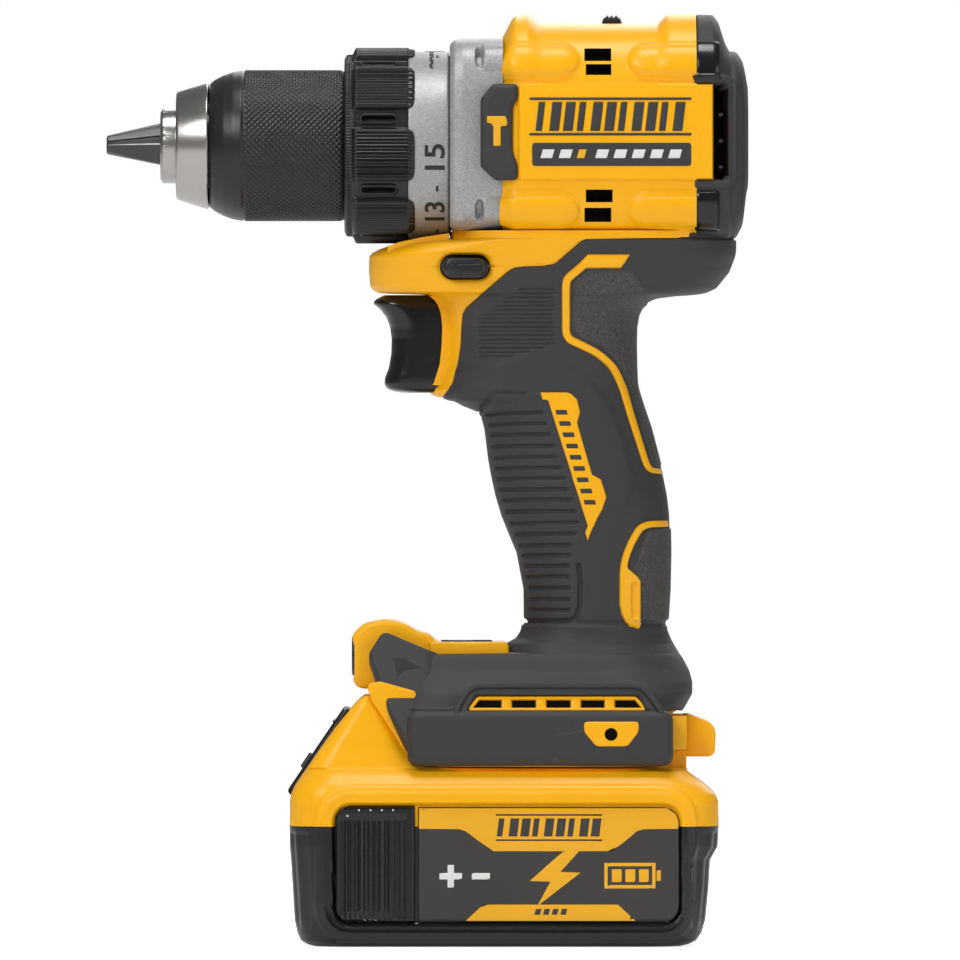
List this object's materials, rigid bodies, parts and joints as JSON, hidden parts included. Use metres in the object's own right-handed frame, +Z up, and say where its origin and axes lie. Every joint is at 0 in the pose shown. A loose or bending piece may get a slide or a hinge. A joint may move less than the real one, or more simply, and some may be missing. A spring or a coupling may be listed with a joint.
{
  "type": "cordless drill",
  "caption": "Pistol-grip cordless drill with keyless chuck, torque collar, two-stage planetary gears, brushless motor and slide-on battery.",
  "frame": {"origin": "centre of the battery's flat underside, which the drill stands on", "axes": "+Z up, the chuck points along -X, the clamshell's mid plane is Y = 0 and the tool's left is -Y"},
  "size_m": [0.1718, 0.074, 0.2491],
  "materials": {
    "yellow": "fine satin texture, amber yellow",
    "rubber": "matt overmoulded grip, dark grey",
    "black": "satin black",
    "steel": "brushed or turned",
    "dark_steel": "oiled, dark",
    "cast": "speckled silver",
    "stator_steel": "laminated steel with copper windings",
    "board": "green circuit board",
    "red_lead": "red insulation",
    "lens": "clear lamp lens",
    "cells": "cell cans"
  },
  "bodies": {
    "tool": {"housing_left": "yellow", "housing_right": "yellow", "grip_left": "rubber", "grip_right": "rubber", "rear_bumper": "rubber", "gear_case": "cast", "gear_case_screw_1": "black", "gear_case_screw_2": "black", "gear_case_screw_3": "black", "gear_case_screw_4": "black", "impact_badge_left": "rubber", "impact_badge_right": "rubber", "housing_screw_1": "dark_steel", "housing_screw_2": "dark_steel", "housing_screw_3": "dark_steel", "housing_screw_4": "dark_steel", "ring_gear": "dark_steel", "stator": "stator_steel", "motor_bearing_front": "steel", "motor_bearing_rear": "steel", "spindle_bearing": "steel", "clutch_spring": "steel", "trigger_switch": "black", "control_board": "board", "terminal_block": "black", "battery_lead_red": "red_lead", "battery_lead_black": "black", "lamp_lens": "lens"},
    "chuck": {"chuck_body": "steel", "chuck_nose_ring": "steel", "chuck_screw": "dark_steel", "output_spindle": "steel"},
    "sleeve": {"chuck_sleeve": "black", "chuck_nut": "dark_steel"},
    "jaw_a": {"jaw_1": "dark_steel"},
    "jaw_b": {"jaw_2": "dark_steel"},
    "jaw_c": {"jaw_3": "dark_steel"},
    "collar": {"clutch_collar": "black", "clutch_scale": "cast"},
    "shift_ring": {"shift_ring_gear": "dark_steel"},
    "rotor": {"rotor": "dark_steel"},
    "carrier": {"first_carrier": "dark_steel"},
    "planet_11": {"stage_1_planet_1": "dark_steel"},
    "planet_12": {"stage_1_planet_2": "dark_steel"},
    "planet_13": {"stage_1_planet_3": "dark_steel"},
    "planet_21": {"stage_2_planet_1": "dark_steel"},
    "planet_22": {"stage_2_planet_2": "dark_steel"},
    "planet_23": {"stage_2_planet_3": "dark_steel"},
    "trigger": {"trigger": "black"},
    "direction": {"direction_bar": "black"},
    "selector": {"speed_selector": "black"},
    "light": {"light_switch": "black"},
    "battery": {"battery_top": "yellow", "battery_base": "black", "cell_pack": "cells", "battery_board": "board", "fuel_gauge": "black"},
    "latch": {"battery_latch": "yellow"},
    "gauge": {"gauge_button": "black"}
  },
  "joints": [
    {"name": "rotor_spin", "type": "hinge", "parent": "tool", "child": "rotor", "pos_m": [0, 0, 0.2137], "axis": [1, 0, 0], "continuous": true},
    {"name": "spindle_spin", "type": "hinge", "parent": "tool", "child": "chuck", "pos_m": [0, 0, 0.2137], "axis": [1, 0, 0], "continuous": true},
    {"name": "carrier_spin", "type": "hinge", "parent": "tool", "child": "carrier", "pos_m": [0, 0, 0.2137], "axis": [1, 0, 0], "continuous": true},
    {"name": "planet_11_spin", "type": "hinge", "parent": "carrier", "child": "planet_11", "pos_m": [0, 0, 0.2245], "axis": [1, 0, 0], "continuous": true},
    {"name": "planet_21_spin", "type": "hinge", "parent": "chuck", "child": "planet_21", "pos_m": [0, 0, 0.2245], "axis": [1, 0, 0], "continuous": true},
    {"name": "planet_12_spin", "type": "hinge", "parent": "carrier", "child": "planet_12", "pos_m": [0, -0.00935, 0.2083], "axis": [1, 0, 0], "continuous": true},
    {"name": "planet_22_spin", "type": "hinge", "parent": "chuck", "child": "planet_22", "pos_m": [0, -0.00935, 0.2083], "axis": [1, 0, 0], "continuous": true},
    {"name": "planet_13_spin", "type": "hinge", "parent": "carrier", "child": "planet_13", "pos_m": [0, 0.00935, 0.2083], "axis": [1, 0, 0], "continuous": true},
    {"name": "planet_23_spin", "type": "hinge", "parent": "chuck", "child": "planet_23", "pos_m": [0, 0.00935, 0.2083], "axis": [1, 0, 0], "continuous": true},
    {"name": "sleeve_turn", "type": "hinge", "parent": "chuck", "child": "sleeve", "pos_m": [0, 0, 0.2137], "axis": [-1, 0, 0], "range_deg": [0, 6840]},
    {"name": "jaw_a_slide", "type": "slide", "parent": "chuck", "child": "jaw_a", "axis": [0.9744, 0, 0.225], "range_m": [0, 0.02881]},
    {"name": "jaw_b_slide", "type": "slide", "parent": "chuck", "child": "jaw_b", "axis": [0.9744, -0.1948, -0.1125], "range_m": [0, 0.02881]},
    {"name": "jaw_c_slide", "type": "slide", "parent": "chuck", "child": "jaw_c", "axis": [0.9744, 0.1948, -0.1125], "range_m": [0, 0.02881]},
    {"name": "collar_turn", "type": "hinge", "parent": "tool", "child": "collar", "pos_m": [0, 0, 0.2137], "axis": [-1, 0, 0], "range_deg": [0, 300]},
    {"name": "speed_slide", "type": "slide", "parent": "tool", "child": "selector", "axis": [-1, 0, 0], "range_m": [0, 0.006]},
    {"name": "shift_ring_slide", "type": "slide", "parent": "tool", "child": "shift_ring", "axis": [-1, 0, 0], "range_m": [0, 0.0041]},
    {"name": "direction_slide", "type": "slide", "parent": "tool", "child": "direction", "axis": [0, 1, 0], "range_m": [-0.003, 0.003]},
    {"name": "trigger_slide", "type": "slide", "parent": "tool", "child": "trigger", "axis": [1, 0, 0], "range_m": [0, 0.0065], "stiffness_N_per_m": 800, "springref_m": -0.003},
    {"name": "light_switch_slide", "type": "slide", "parent": "tool", "child": "light", "axis": [1, 0, 0], "range_m": [0, 0.006]},
    {"name": "battery_slide", "type": "slide", "parent": "tool", "child": "battery", "axis": [-1, 0, 0], "range_m": [0, 0.08]},
    {"name": "latch_slide", "type": "slide", "parent": "battery", "child": "latch", "axis": [0, 0, -1], "range_m": [0, 0.003], "stiffness_N_per_m": 1500, "springref_m": -0.002},
    {"name": "gauge_press", "type": "slide", "parent": "battery", "child": "gauge", "axis": [0.808, 0, -0.5892], "range_m": [0, 0.0006], "stiffness_N_per_m": 600, "springref_m": -0.001}
  ],
  "couplings": [
    {"joint": "spindle_spin", "follows": "rotor_spin", "ratio": 0.0625},
    {"joint": "carrier_spin", "follows": "rotor_spin", "ratio": 0.25},
    {"joint": "planet_11_spin", "follows": "rotor_spin", "ratio": -0.75},
    {"joint": "planet_21_spin", "follows": "rotor_spin", "ratio": -0.1875},
    {"joint": "planet_12_spin", "follows": "rotor_spin", "ratio": -0.75},
    {"joint": "planet_22_spin", "follows": "rotor_spin", "ratio": -0.1875},
    {"joint": "planet_13_spin", "follows": "rotor_spin", "ratio": -0.75},
    {"joint": "planet_23_spin", "follows": "rotor_spin", "ratio": -0.1875},
    {"joint": "jaw_a_slide", "follows": "sleeve_turn", "m_per_rad": 0.00024125},
    {"joint": "jaw_b_slide", "follows": "sleeve_turn", "m_per_rad": 0.00024125},
    {"joint": "jaw_c_slide", "follows": "sleeve_turn", "m_per_rad": 0.00024125},
    {"joint": "shift_ring_slide", "follows": "speed_slide", "ratio": 0.66667}
  ]
}
